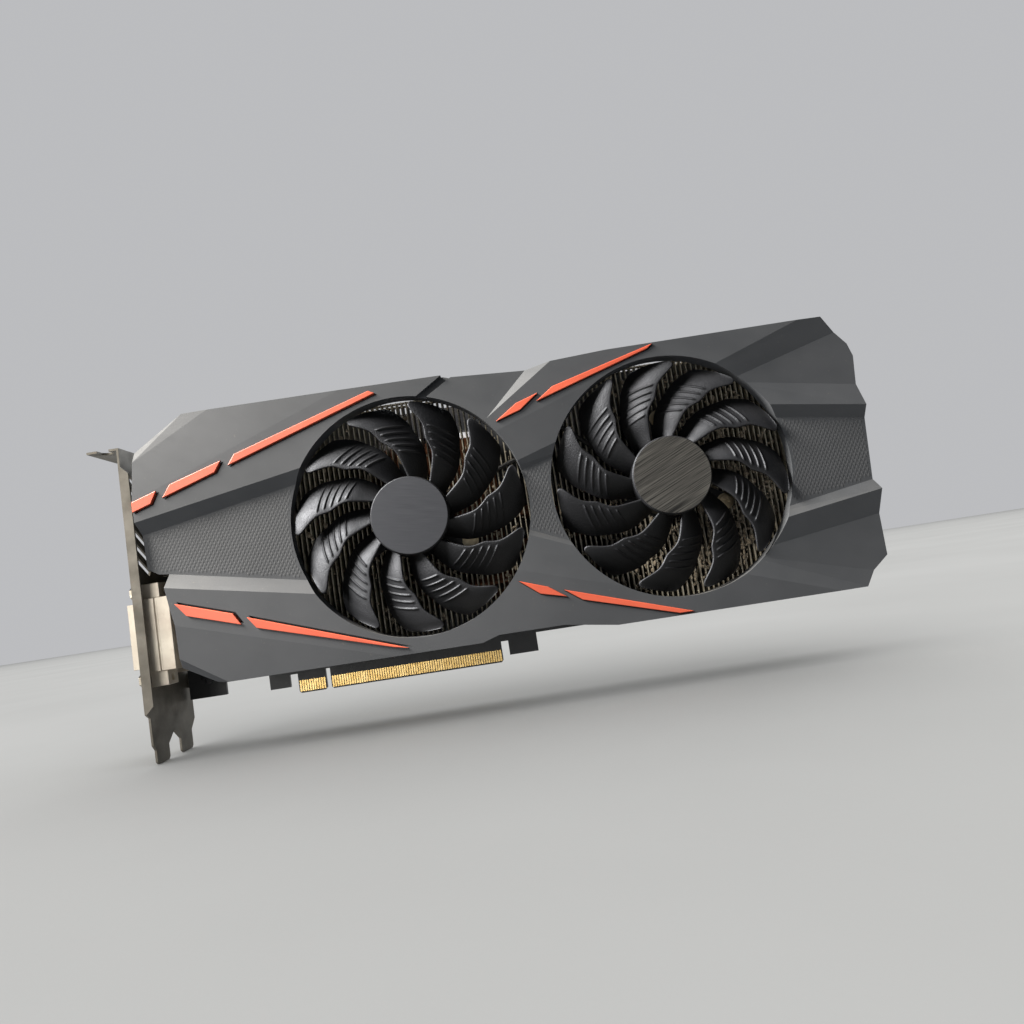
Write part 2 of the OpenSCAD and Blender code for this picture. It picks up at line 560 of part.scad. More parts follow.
module shroud() color([0.19, 0.20, 0.21]) difference() {
  union() {
    difference() {
      folded_sheet();
      shroud_hollow();
    }
    for (x = lug_x) for (z = tab_z) slab([x - 5, x + 5], z, [12.5, plate_back + 0.5]);
  }
  for (x = [fan_x, far_fan_x]) at_fan(x) translate([0, 0, 20]) cylinder(r = opening_r, h = 20, $fn = 120);
  // dark groove across the top edge
  facing() translate([127.6, 112.6, face_depth - 3]) rotate([0, 0, 212]) translate([-8, -1.4, 0])
    cube([26, 2.8, 6]);
  pockets(upper_left, [0.9, -0.6]);
  pockets(lower_left, [0.8, 0.5]);
  pockets(upper_right, [0.3, -0.5]);
  pockets(lower_right, [0.3, -0.5]);
  for (x = lug_x) translate([x, -tab_screw_depth, 0]) cylinder(r = 1.4, h = 130);
}

module shroud_screws() color([0.10, 0.10, 0.11]) for (x = lug_x) {
  translate([x, -tab_screw_depth, tab_z[0][0] - 1.2]) cylinder(r = 2.4, h = 1.2);
  translate([x, -tab_screw_depth, tab_z[0][0]]) cylinder(r = 1.3, h = 4.5);
  translate([x, -tab_screw_depth, tab_z[1][1]]) cylinder(r = 2.4, h = 1.2);
  translate([x, -tab_screw_depth, tab_z[1][1] - 4.5]) cylinder(r = 1.3, h = 4.5);
}

// ---------------------------------------------------------------- fans

module fan_frame(x) color([0.08, 0.08, 0.09]) at_fan(x) difference() {
  union() {
    translate([0, 0, frame_back]) cylinder(r = 15.6, h = frame_front - frame_back);
    translate([0, 0, frame_back]) cylinder(r = 3.8, h = 9.6);
    for (a = screw_angles) rotate([0, 0, a]) {
      translate([12, -3, frame_back]) cube([screw_ring_r - 12, 6, frame_front - frame_back]);
      translate([screw_ring_r, 0, frame_back]) cylinder(r = 3.3, h = frame_front - frame_back);
    }
  }
  translate([0, 0, frame_back - 1]) cylinder(r = 3, h = 20);
  for (a = screw_angles) rotate([0, 0, a]) translate([screw_ring_r, 0, 0]) cylinder(r = 1.4, h = 40);
}

module bearing(x) color([0.78, 0.62, 0.30]) at_fan(x) difference() {
  translate([0, 0, frame_back]) cylinder(r = 3, h = 9.6);
  translate([0, 0, frame_back - 1]) cylinder(r = shaft_r + shaft_gap, h = 20);
}

module stator(x) color([0.45, 0.46, 0.48]) at_fan(x) translate([0, 0, 24.6]) difference() {
  union() {
    cylinder(r = 5.4, h = 5);
    for (a = [0 : 60 : 300]) rotate([0, 0, a]) {
      translate([4, -1, 0]) cube([6, 2, 5]);
      intersection() {
        difference() {
          cylinder(r = 11.6, h = 5);
          translate([0, 0, -1]) cylinder(r = 9.9, h = 7);
        }
        translate([8, -4, 0]) cube([5, 8, 5]);
      }
    }
  }
  translate([0, 0, -1]) cylinder(r = 3.8, h = 7);
}

module coils(x) color([0.72, 0.38, 0.20]) at_fan(x) for (a = [0 : 60 : 300]) rotate([0, 0, a]) difference() {
  translate([6, -2, 24]) cube([3.6, 4, 6.2]);
  translate([5, -1, 24.6]) cube([6, 2, 5]);
}

// Blade edges as [radius, angle]: the front edge is nearer the viewer, the rear edge is deeper.
blade_root_r = 14.2;
front_edge = [
  [blade_root_r, 33.5], [18.3, 28.6], [24, 23.6], [28.3, 16.9], [31, 13.2], [35.2, 10], [39.5, 3.8],
  [42.6, 0], [blade_tip_r, 1.2]
];
rear_edge = [
  [blade_root_r, 57.5], [20, 51.3], [27, 44.2], [32.2, 36.8], [37.2, 31], [41.5, 24.4], [blade_tip_r, 20.5]
];
blade_radii = [blade_root_r, 18.3, 24, 28.3, 31, 35.2, 39.5, 42.6, blade_tip_r];
blade_steps = 4;
blade_t = 1.3;
// Turn of the first blade's outer front corner at rest.
left_turn = 31;
right_turn = 14.2;
// Depth of the blade's face at share s of the way from the front edge to the rear edge.
function blade_depth(r, s) =
  lookup(r, [[blade_root_r, 32.4], [24, 34.2], [40, 34.2], [blade_tip_r, 33.6]])
  - lookup(r, [[30, 6], [40, 7.2]]) * pow(s, 1.45);

module blade() {
  n = len(blade_radii);
  m = blade_steps + 1;
  function at(r, s) = let (a = lookup(r, front_edge) * (1 - s) + lookup(r, rear_edge) * s)
    [r * cos(a), r * sin(a), blade_depth(r, s)];
  face = [for (r = blade_radii) for (k = [0 : blade_steps]) at(r, k / blade_steps)];
  back = [for (p = face) p - [0, 0, blade_t]];
  function id(i, k, side) = side * n * m + i * m + k;
  faces = concat(
    [for (i = [0 : n - 2]) for (k = [0 : blade_steps - 1])
      [id(i, k, 0), id(i, k + 1, 0), id(i + 1, k + 1, 0), id(i + 1, k, 0)]],
    [for (i = [0 : n - 2]) for (k = [0 : blade_steps - 1])
      [id(i, k, 1), id(i + 1, k, 1), id(i + 1, k + 1, 1), id(i, k + 1, 1)]],
    [for (i = [0 : n - 2]) [id(i, 0, 0), id(i + 1, 0, 0), id(i + 1, 0, 1), id(i, 0, 1)]],
    [for (i = [0 : n - 2]) [id(i, m - 1, 1), id(i + 1, m - 1, 1), id(i + 1, m - 1, 0), id(i, m - 1, 0)]],
    [for (k = [0 : m - 2]) [id(0, k, 1), id(0, k + 1, 1), id(0, k + 1, 0), id(0, k, 0)]],
    [for (k = [0 : m - 2]) [id(n - 1, k, 0), id(n - 1, k + 1, 0), id(n - 1, k + 1, 1), id(n - 1, k, 1)]]
  );
  polyhedron(concat(face, back), faces, convexity = 4);
}

module impeller(x, flip, turn) color([0.05, 0.05, 0.055]) at_fan(x) {
  difference() {
    translate([0, 0, cup_back]) cylinder(r = hub_r, h = cup_front - cup_back, $fn = 96);
    translate([0, 0, cup_back - 1]) cylinder(r = hub_r - cup_wall, h = cup_front - cup_back + 1 - cup_wall);
  }
  mirror([flip, 0, 0]) for (i = [0 : blade_count - 1]) rotate([0, 0, turn + i * 360 / blade_count]) blade();
}

module shaft(x) color([0.80, 0.80, 0.82]) at_fan(x)
  translate([0, 0, frame_back + 0.4]) cylinder(r = shaft_r, h = cup_front - cup_wall - frame_back - 0.4);

module magnet(x) color([0.20, 0.20, 0.21]) at_fan(x) difference() {
  translate([0, 0, cup_back + 1]) cylinder(r = hub_r - cup_wall, h = 7);
  translate([0, 0, cup_back]) cylinder(r = hub_r - cup_wall - 1.4, h = 9);
}

module hub_label(x) color([0.16, 0.17, 0.19]) at_fan(x)
  translate([0, 0, cup_front]) cylinder(r = hub_r - 0.6, h = label_t, $fn = 96);

module fan_screws() color([0.75, 0.68, 0.55]) for (x = [fan_x, far_fan_x]) for (a = screw_angles)
  at_fan(x) rotate([0, 0, a]) translate([screw_ring_r, 0, 0]) {
    translate([0, 0, 15]) cylinder(r = 1.25, h = frame_front - 15);
    translate([0, 0, frame_front]) cylinder(r = 3.2, h = 0.4);
    difference() {
      translate([0, 0, frame_front + 0.4]) cylinder(r = 2.3, h = 0.9);
      translate([-1.6, -0.3, frame_front + 0.9]) cube([3.2, 0.6, 1]);
      translate([-0.3, -1.6, frame_front + 0.9]) cube([0.6, 3.2, 1]);
    }
  }

// Leads run in front of the fins, then back through the gap between the two stacks to their headers.
// Points are [x, height, depth].
left_route = [
  [121.9, 69, 22], [128, 71.5, 22], [136, 74, 22], [144, 77, 22], [150, 79.2, 22.1], [153.6, 80.8, 22],
  [156.4, 82.2, 21], [158.2, 83.2, 18.8], [158.8, 83.7, 14.5], [159, 84, 9.5], [159, 84, 1.2]
];
right_route = [
  [192.6, 69.6, 22], [187, 74, 22], [181, 79, 22], [175, 84.5, 22], [168.5, 90, 22.1], [163.4, 94, 22.2],
  [161.6, 95.2, 22.1], [160.4, 95.8, 21.2], [159.6, 96.3, 18.8], [159.1, 96.7, 14.5], [159, 97, 9.5],
  [159, 97, 1.2]
];
lead_r = 0.9;
lead_sides = 8;

module fan_lead(route) color([0.06, 0.06, 0.06])
  facing() swept_tube(route, lead_r, lead_sides);

// ---------------------------------------------------------------- backplate

back_gap = 1.9;
plate_outer = board_t + back_gap + 1.2;
backplate_outline = [
  [16, 107], [30, 110], [262, 110], [274, 104], [277, 92], [277, 30], [272, 14], [250, 12], [150, 12],
  [140, 16], [44, 16], [34, 12], [20, 12], [16, 16]
];

module backplate() color([0.09, 0.09, 0.10]) difference() {
  panel(backplate_outline, [-plate_outer, -plate_outer + 1.2]);
  panel([[chip[0] - 26, chip[1] - 38], [chip[0] + 26, chip[1] - 38], [chip[0] + 38, chip[1] - 26],
         [chip[0] + 38, chip[1] + 26], [chip[0] + 26, chip[1] + 38], [chip[0] - 26, chip[1] + 38],
         [chip[0] - 38, chip[1] + 26], [chip[0] - 38, chip[1] - 26]], [-plate_outer - 1, -board_t]);
  for (i = [0 : 8]) panel([[180 + i * 7, 76], [184 + i * 7, 76], [194 + i * 7, 96], [190 + i * 7, 96]],
    [-plate_outer - 1, -board_t]);
  for (p = spacer_spots) post(p[0], p[1], board_hole_r, [-8, 0]);
}

module backplate_spacers() color([0.75, 0.72, 0.62]) for (p = spacer_spots) difference() {
  post(p[0], p[1], 2.6, [-board_t - back_gap, -board_t]);
  post(p[0], p[1], 1.5, [-board_t - 3, 0]);
}

module backplate_screws() color([0.20, 0.20, 0.22]) for (p = spacer_spots) {
  post(p[0], p[1], 1.45, [-plate_outer, -0.2]);
  difference() {
    post(p[0], p[1], 2.8, [-plate_outer - 1.2, -plate_outer]);
    slab([p[0] - 1.8, p[0] + 1.8], [p[1] - 0.3, p[1] + 0.3], [-plate_outer - 2, -plate_outer - 0.6]);
    slab([p[0] - 0.3, p[0] + 0.3], [p[1] - 1.8, p[1] + 1.8], [-plate_outer - 2, -plate_outer - 0.6]);
  }
}

// ---------------------------------------------------------------- assembly

bracket();
bracket_screws();
circuit_board();
edge_contacts();
graphics_chip_base();
graphics_chip_die();
memory_chips();
memory_pads();
power_transistors();
power_chokes();
power_capacitors();
small_parts();
power_socket();
power_pins();
fan_headers();
dvi_shell();
dvi_insert();
dvi_jack_screws();
hdmi_shell();
hdmi_tongue();
displayport_shells();
displayport_tongues();
cold_plate();
heat_pipes();
near_fin_stack();
far_fin_stack();
cooler_screws();
cooler_springs();
shroud();
strips(upper_left);  // strips_upper_left
strips(lower_left);  // strips_lower_left
strips(upper_right);  // strips_upper_right
strips(lower_right);  // strips_lower_right
shroud_screws();
fan_frame(fan_x);  // left_fan_frame
fan_frame(far_fan_x);  // right_fan_frame
bearing(fan_x);  // left_bearing
bearing(far_fan_x);  // right_bearing
stator(fan_x);  // left_stator
stator(far_fan_x);  // right_stator
coils(fan_x);  // left_coils
coils(far_fan_x);  // right_coils
impeller(fan_x, 1, left_turn);  // left_impeller
impeller(far_fan_x, 0, right_turn);  // right_impeller
shaft(fan_x);  // left_shaft
shaft(far_fan_x);  // right_shaft
magnet(fan_x);  // left_magnet
magnet(far_fan_x);  // right_magnet
hub_label(fan_x);  // left_hub_label
hub_label(far_fan_x);  // right_hub_label
fan_screws();
fan_lead(left_route);  // left_fan_lead
fan_lead(right_route);  // right_fan_lead
backplate();
backplate_spacers();
backplate_screws();
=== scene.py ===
import math
import random

import bmesh
import bpy
from mathutils import Matrix, Vector
from mathutils.bvhtree import BVHTree


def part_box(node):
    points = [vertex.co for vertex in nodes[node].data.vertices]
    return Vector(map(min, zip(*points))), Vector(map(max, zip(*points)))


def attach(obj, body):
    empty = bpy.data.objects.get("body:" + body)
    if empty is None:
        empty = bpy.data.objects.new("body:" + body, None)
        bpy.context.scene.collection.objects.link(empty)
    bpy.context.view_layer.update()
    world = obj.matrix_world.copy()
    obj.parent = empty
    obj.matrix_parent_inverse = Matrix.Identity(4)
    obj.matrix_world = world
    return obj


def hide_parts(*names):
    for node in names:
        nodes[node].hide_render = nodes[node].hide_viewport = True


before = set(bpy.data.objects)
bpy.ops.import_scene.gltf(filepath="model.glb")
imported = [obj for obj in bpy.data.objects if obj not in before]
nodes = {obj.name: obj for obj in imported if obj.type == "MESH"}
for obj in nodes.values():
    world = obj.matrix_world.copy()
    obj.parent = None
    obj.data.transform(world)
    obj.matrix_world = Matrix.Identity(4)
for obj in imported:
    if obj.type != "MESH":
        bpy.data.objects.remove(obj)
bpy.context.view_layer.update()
MM = 0.001

random.seed(11)


# ---------------------------------------------------------------- places taken from the frame

def middle(node):
    low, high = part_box(node)
    return (low + high) / 2


# A depth is a distance in front of the circuit board, in millimetres.
FAN_CENTRES = {side: middle(f"{side}_hub_label") for side in ("left", "right")}
LABEL_BACK = -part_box("left_hub_label")[1].y / MM
FIN_FRONT = -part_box("near_fin_stack")[0].y / MM
BAND_DEPTH = 32.0
FLOOR_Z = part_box("bracket")[0].z - 0.2 * MM


# ---------------------------------------------------------------- shader patterns

class Look:
    """A Principled material and the few node patterns that every finish here is mixed from."""

    def __init__(self, name, roughness=0.5, metallic=0.0, **sockets):
        self.material = bpy.data.materials.new(name)
        self.material.use_nodes = True
        self.tree = self.material.node_tree
        self.shader = self.tree.nodes["Principled BSDF"]
        self.shader.inputs["Roughness"].default_value = roughness
        self.shader.inputs["Metallic"].default_value = metallic
        for socket, value in sockets.items():
            self.shader.inputs[socket.replace("_", " ")].default_value = value
        self.place = self.tree.nodes.new("ShaderNodeTexCoord").outputs["Object"]
        self.height = None

    def link(self, source, target):
        self.tree.links.new(source, target)

    def scaled(self, factors, turn=(0, 0, 0)):
        """Object coordinates, turned by degrees and stretched along each axis."""
        node = self.tree.nodes.new("ShaderNodeMapping")
        node.vector_type = "TEXTURE"
        node.inputs["Rotation"].default_value = [math.radians(a) for a in turn]
        node.inputs["Scale"].default_value = factors
        self.link(self.place, node.inputs["Vector"])
        return node.outputs["Vector"]

    def noise(self, size, detail=3.0, roughness=0.55, vector=None):
        """Noise whose features are about size metres across."""
        node = self.tree.nodes.new("ShaderNodeTexNoise")
        node.inputs["Scale"].default_value = 1 / size
        node.inputs["Detail"].default_value = detail
        node.inputs["Roughness"].default_value = roughness
        self.link(vector or self.place, node.inputs["Vector"])
        return node.outputs["Fac"]

    def cells(self, size, vector):
        """Distance to the nearest of scattered points, about size metres apart."""
        node = self.tree.nodes.new("ShaderNodeTexVoronoi")
        node.inputs["Scale"].default_value = 1 / size
        self.link(vector, node.inputs["Vector"])
        return node.outputs["Distance"]

    def span(self, value, low, high, to_low=0.0, to_high=1.0):
        """Maps low..high to to_low..to_high, clamped."""
        node = self.tree.nodes.new("ShaderNodeMapRange")
        node.inputs["From Min"].default_value = low
        node.inputs["From Max"].default_value = high
        node.inputs["To Min"].default_value = to_low
        node.inputs["To Max"].default_value = to_high
        self.link(value, node.inputs["Value"])
        return node.outputs["Result"]

    def wave(self, direction, scale, distortion=0.0):
        """Parallel bands across one direction."""
        node = self.tree.nodes.new("ShaderNodeTexWave")
        node.bands_direction = direction
        node.inputs["Scale"].default_value = scale
        node.inputs["Distortion"].default_value = distortion
        self.link(self.place, node.inputs["Vector"])
        return node.outputs["Fac"]

    def math(self, operation, a, b=None):
        node = self.tree.nodes.new("ShaderNodeMath")
        node.operation = operation
        for socket, value in zip(node.inputs, (a, b)):
            if isinstance(value, (int, float)):
                socket.default_value = value
            elif value is not None:
                self.link(value, socket)
        return node.outputs["Value"]

    def mix(self, share, first, second):
        """Blend of two colours, each a tuple or a socket."""
        node = self.tree.nodes.new("ShaderNodeMix")
        node.data_type = "RGBA"
        inputs = {s.identifier: s for s in node.inputs}
        for key, value in (("A_Color", first), ("B_Color", second)):
            if isinstance(value, tuple):
                inputs[key].default_value = (*value, 1.0)
            else:
                self.link(value, inputs[key])
        self.link(share, inputs["Factor_Float"])
        return next(s for s in node.outputs if s.identifier == "Result_Color")

    def axis(self, name, vector=None):
        """One component of a vector, or of the place on the surface."""
        node = self.tree.nodes.new("ShaderNodeSeparateXYZ")
        self.link(vector or self.place, node.inputs["Vector"])
        return node.outputs[name]

    def facing(self, name):
        """One component of the surface's normal."""
        geometry = self.tree.nodes.new("ShaderNodeNewGeometry")
        return self.axis(name, geometry.outputs["Normal"])

    def paint(self, colour):
        self.link(colour, self.shader.inputs["Base Color"])

    def rough(self, pattern, to_low, to_high, low=0.3, high=0.7):
        """Roughness that goes from to_low to to_high as the pattern goes from low to high."""
        self.link(self.span(pattern, low, high, to_low, to_high), self.shader.inputs["Roughness"])

    def bump(self, height, depth, strength=1.0):
        """Adds relief whose full height is depth metres, on top of any relief already there."""
        node = self.tree.nodes.new("ShaderNodeBump")
        node.inputs["Strength"].default_value = strength
        node.inputs["Distance"].default_value = depth
        self.link(height, node.inputs["Height"])
        if self.height is not None:
            self.link(self.height, node.inputs["Normal"])
        self.height = node.outputs["Normal"]
        self.link(self.height, self.shader.inputs["Normal"])


def mottled(look, dark, light, size, low=0.35, high=0.65):
    """Colour that drifts between two tones over patches of the given size."""
    return look.mix(look.span(look.noise(size, 4), low, high), dark, light)


def add_dust(look, colour, dust, amount, size=0.0011):
    """Specks, and a film of dust on faces that look up."""
    specks = look.span(look.noise(size, 2), 0.70, 0.78, 0, amount)
    upward = look.span(look.facing("Z"), 0.35, 1.0, 0, amount)
    film = look.math("MULTIPLY", upward, look.span(look.noise(0.012, 5), 0.3, 0.7))
    return look.mix(look.math("MAXIMUM", specks, film), colour, dust)


# ---------------------------------------------------------------- materials

# Pattern sizes and relief depths are in metres.
DUST = (0.30, 0.26, 0.20)


def moulded_plastic(name, dark, light, grain=0.00022, roughness=(0.42, 0.62), dust=0.10, depth=0.00002,
                    specular=0.32):
    """Injection-moulded plastic: fine spark-eroded grain, soft handling marks and a little dust."""
    look = Look(name, Specular_IOR_Level=specular)
    colour = mottled(look, dark, light, 0.045)
    look.paint(add_dust(look, colour, DUST, dust))
    smears = look.noise(0.016, 5, vector=look.scaled((1, 1, 0.35), (0, 24, 0)))
    look.rough(smears, *roughness)
    look.bump(look.noise(grain, 3, 0.7), depth)
    scratches = look.span(look.noise(0.0009, 1, vector=look.scaled((22, 1, 1), (0, 31, 0))), 0.73, 0.80)
    look.bump(scratches, depth, 0.35)
    return look.material


def brushed_foil(name, dark, light, turn, lines=0.00022, contrast=1.0, roughness=(0.28, 0.45)):
    """Foil disc with straight brush marks at an angle in the plane of the disc."""
    look = Look(name, metallic=0.55, Specular_IOR_Level=0.5)
    streaks = look.noise(lines, 4, 0.6, look.scaled((60, 1, 1), (0, turn, 0)))
    fine = look.noise(lines * 0.4, 2, 0.5, look.scaled((90, 1, 1), (0, turn, 0)))
    both = look.math("ADD", look.math("MULTIPLY", streaks, 0.7), look.math("MULTIPLY", fine, 0.3))
    low, high = 0.5 - 0.16 / contrast, 0.5 + 0.16 / contrast
    look.paint(look.mix(look.span(both, low, high), dark, light))
    look.rough(both, *roughness, 0.35, 0.65)
    look.bump(both, 0.00003, 0.6 * contrast)
    return look.material


def sheet_metal(name, dark, light, roughness=(0.28, 0.48), stains=0.25, stain=(0.20, 0.15, 0.10)):
    """Plated sheet steel: soft rolling lines, cloudy plating and some tarnish."""
    look = Look(name, metallic=0.45)
    cloud = mottled(look, dark, light, 0.009)
    marks = look.span(look.noise(0.004, 5, 0.65), 0.58, 0.74, 0, stains)
    look.paint(add_dust(look, look.mix(marks, cloud, stain), DUST, 0.12))
    rolled = look.noise(0.0003, 3, vector=look.scaled((1, 1, 18)))
    look.rough(look.noise(0.006, 4), *roughness)
    look.bump(rolled, 0.000012)
    return look.material


def turned_metal(name, dark, light, roughness=(0.22, 0.4), grain=0.00025):
    """Machined or drawn metal with fine marks."""
    look = Look(name, metallic=1.0)
    look.paint(mottled(look, dark, light, 0.003))
    look.rough(look.noise(0.002, 4), *roughness)
    look.bump(look.noise(grain, 3), 0.00001)
    return look.material


def plain_plastic(name, dark, light, roughness=(0.35, 0.55)):
    """Small plastic, rubber or ceramic part with a fine grain."""
    look = Look(name, Specular_IOR_Level=0.45)
    look.paint(add_dust(look, mottled(look, dark, light, 0.006), DUST, 0.08))
    look.rough(look.noise(0.004, 4), *roughness)
    look.bump(look.noise(0.00018, 3), 0.000012)
    return look.material


def strip_paint():
    """Coral paint in its pockets, slightly uneven, with rubbed edges."""
    look = Look("strip_paint", Specular_IOR_Level=0.4, Coat_Weight=0.08)
    colour = mottled(look, (0.44, 0.072, 0.036), (0.52, 0.092, 0.047), 0.02)
    look.paint(add_dust(look, colour, (0.70, 0.26, 0.16), 0.16, 0.0006))
    look.rough(look.noise(0.008, 5), 0.36, 0.52)
    look.bump(look.noise(0.00016, 3, 0.7), 0.000014)
    return look.material


def fin_aluminium():
    """Thin aluminium fins: brassy haze of old flux and dust, with painted shade that darkens them in the
    depth of the stack.
    """
    look = Look("fin_aluminium", metallic=0.35, Specular_IOR_Level=0.5)
    bare = mottled(look, (0.52, 0.47, 0.37), (0.74, 0.69, 0.56), 0.005)
    grime = look.span(look.noise(0.003, 5, 0.65), 0.46, 0.70, 0.0, 0.7)
    soiled = look.mix(grime, bare, (0.16, 0.125, 0.08))
    # Painted shade: the fins' sides turn dark from a few millimetres behind their front edges, where shade
    # falls between them.
    painted_depth_shade = look.span(look.axis("Y"), -FIN_FRONT * MM + 0.0015, -FIN_FRONT * MM + 0.008)
    look.paint(look.mix(painted_depth_shade, soiled, (0.055, 0.047, 0.036)))
    look.rough(look.noise(0.002, 4), 0.32, 0.6)
    look.bump(look.noise(0.0004, 4), 0.00004)
    return look.material


def gold_plate():
    """Gold over nickel, rubbed paler in long patches where the card slides into its slot."""
    look = Look("gold", metallic=0.5)
    worn = look.span(look.noise(0.0006, 4, vector=look.scaled((1, 1, 7))), 0.55, 0.75, 0, 0.5)
    plate = mottled(look, (0.80, 0.52, 0.16), (0.95, 0.68, 0.28), 0.004)
    look.paint(look.mix(worn, plate, (0.72, 0.55, 0.32)))
    look.rough(look.noise(0.002, 3), 0.18, 0.34)
    look.bump(look.noise(0.00025, 3, vector=look.scaled((1, 1, 9))), 0.000012)
    return look.material


def board_mask():
    """Black solder mask over copper tracks: the tracks show as faint ridges with square turns."""
    look = Look("board", Specular_IOR_Level=0.55, Coat_Weight=0.25, Coat_Roughness=0.22)
    fields = look.cells(0.011, look.scaled((1, 1, 1), (0, 45, 0)))
    lanes = look.span(look.wave("DIAGONAL", 760, 0.9), 0.55, 0.62)
    tracks = look.math("MULTIPLY", lanes, look.span(fields, 0.2, 0.24))
    colour = look.mix(tracks, (0.010, 0.011, 0.013), (0.014, 0.015, 0.018))
    look.paint(add_dust(look, colour, DUST, 0.14))
    look.rough(look.noise(0.004, 4), 0.28, 0.46)
    look.bump(tracks, 0.00001)
    look.bump(look.noise(0.0003, 2), 0.000008)
    return look.material


def windings():
    """Varnished copper wire, wound in turns."""
    look = Look("windings", metallic=0.6, Coat_Weight=0.4, Coat_Roughness=0.2)
    turns = look.wave("Y", 650)
    look.paint(look.mix(turns, (0.18, 0.06, 0.025), (0.62, 0.27, 0.12)))
    look.rough(look.noise(0.001, 3), 0.3, 0.45)
    look.bump(turns, 0.00012)
    return look.material


def laminations():
    """Edges of the stacked steel sheets of a stator."""
    look = Look("laminations", metallic=0.8)
    sheets = look.wave("Y", 900)
    look.paint(look.mix(sheets, (0.10, 0.10, 0.11), (0.34, 0.34, 0.36)))
    look.rough(look.noise(0.002, 3), 0.35, 0.5)
    look.bump(sheets, 0.00006)
    return look.material


def thermal_pad():
    """Soft grey gap filler."""
    look = Look("thermal_pad", Specular_IOR_Level=0.3)
    look.paint(mottled(look, (0.30, 0.32, 0.36), (0.42, 0.44, 0.48), 0.002))
    look.rough(look.noise(0.001, 3), 0.65, 0.8)
    look.bump(look.noise(0.0005, 4), 0.00006)
    return look.material


def laminate_green():
    """Glass-fibre chip base with its weave faintly showing."""
    look = Look("chip_laminate", Coat_Weight=0.3, Coat_Roughness=0.15)
    weave = look.cells(0.0005, look.scaled((1, 1, 1), (0, 45, 0)))
    look.paint(look.mix(weave, (0.02, 0.10, 0.045), (0.04, 0.17, 0.08)))
    look.rough(look.noise(0.003, 3), 0.3, 0.42)
    look.bump(weave, 0.00002)
    return look.material


def silicon():
    """Polished back of a bare die."""
    look = Look("silicon", metallic=0.7)
    look.paint(mottled(look, (0.12, 0.13, 0.17), (0.20, 0.20, 0.25), 0.004))
    look.rough(look.noise(0.002, 3), 0.08, 0.18)
    look.bump(look.noise(0.0004, 2), 0.000004)
    return look.material


def lint():
    """Grey-brown household dust: dull and fibrous."""
    look = Look("lint", Specular_IOR_Level=0.15, Sheen_Weight=0.35, Sheen_Roughness=0.6)
    fibres = look.noise(0.0004, 5, 0.7, look.scaled((3, 1, 1), (0, 40, 0)))
    look.paint(look.mix(look.span(fibres, 0.3, 0.7), (0.13, 0.095, 0.06), (0.44, 0.37, 0.27)))
    look.rough(fibres, 0.82, 0.97)
    look.bump(fibres, 0.0002)
    return look.material


SLATE = moulded_plastic("shroud_plastic", (0.037, 0.040, 0.045), (0.049, 0.052, 0.058), roughness=(0.5, 0.68))
BAND = moulded_plastic("band_plastic", (0.040, 0.042, 0.046), (0.052, 0.055, 0.060), roughness=(0.5, 0.68),
                       dust=0.04)
BLADE = moulded_plastic("blade_plastic", (0.004, 0.004, 0.0045), (0.008, 0.008, 0.0085), grain=0.00055,
                        roughness=(0.46, 0.58), dust=0.02, depth=0.00016, specular=0.30)
FRAME = moulded_plastic("fan_plastic", (0.008, 0.008, 0.009), (0.013, 0.013, 0.014), roughness=(0.35, 0.5))
STEEL = sheet_metal("plated_steel", (0.11, 0.10, 0.082), (0.18, 0.165, 0.14), (0.40, 0.58),
                    stains=0.45, stain=(0.13, 0.09, 0.06))
SHELL = sheet_metal("connector_steel", (0.55, 0.48, 0.40), (0.70, 0.64, 0.54), (0.36, 0.52),
                    stains=0.3, stain=(0.36, 0.27, 0.19))
NICKEL = turned_metal("nickel", (0.36, 0.32, 0.26), (0.54, 0.50, 0.42), (0.28, 0.45))
DARK_SCREW = turned_metal("dark_screw", (0.035, 0.035, 0.038), (0.07, 0.07, 0.075), (0.3, 0.5))
WASHER = turned_metal("washer_steel", (0.50, 0.41, 0.27), (0.68, 0.57, 0.40), (0.3, 0.45))
# Painted shade: the copper is far darker than bare copper so the cold plate seen deep behind the fins reads
# dark; the heat pipes share this tone.
COPPER = turned_metal("copper", (0.09, 0.038, 0.020), (0.18, 0.080, 0.042), (0.35, 0.55))
BRONZE = turned_metal("bronze", (0.42, 0.28, 0.10), (0.58, 0.42, 0.18))
SHAFT = turned_metal("shaft_steel", (0.55, 0.55, 0.57), (0.70, 0.70, 0.72), (0.12, 0.25))
MAGNET = plain_plastic("magnet", (0.022, 0.022, 0.024), (0.035, 0.035, 0.037))
SOCKET = plain_plastic("socket_plastic", (0.008, 0.008, 0.008), (0.014, 0.014, 0.014))
INSERT = plain_plastic("insert_plastic", (0.62, 0.61, 0.56), (0.74, 0.73, 0.68))
HEADER = plain_plastic("header_plastic", (0.55, 0.53, 0.46), (0.66, 0.64, 0.56))
CHIP = plain_plastic("chip_plastic", (0.010, 0.010, 0.011), (0.017, 0.017, 0.018), (0.45, 0.6))
FERRITE = plain_plastic("ferrite", (0.05, 0.05, 0.055), (0.085, 0.085, 0.09), (0.5, 0.65))
CAN = turned_metal("can_aluminium", (0.52, 0.53, 0.56), (0.70, 0.71, 0.74))
CERAMIC = plain_plastic("ceramic", (0.26, 0.19, 0.12), (0.40, 0.31, 0.21))
PIN = turned_metal("tinned_pin", (0.52, 0.48, 0.40), (0.68, 0.64, 0.55))
LEAD = plain_plastic("lead_rubber", (0.008, 0.008, 0.008), (0.014, 0.014, 0.014), (0.5, 0.65))
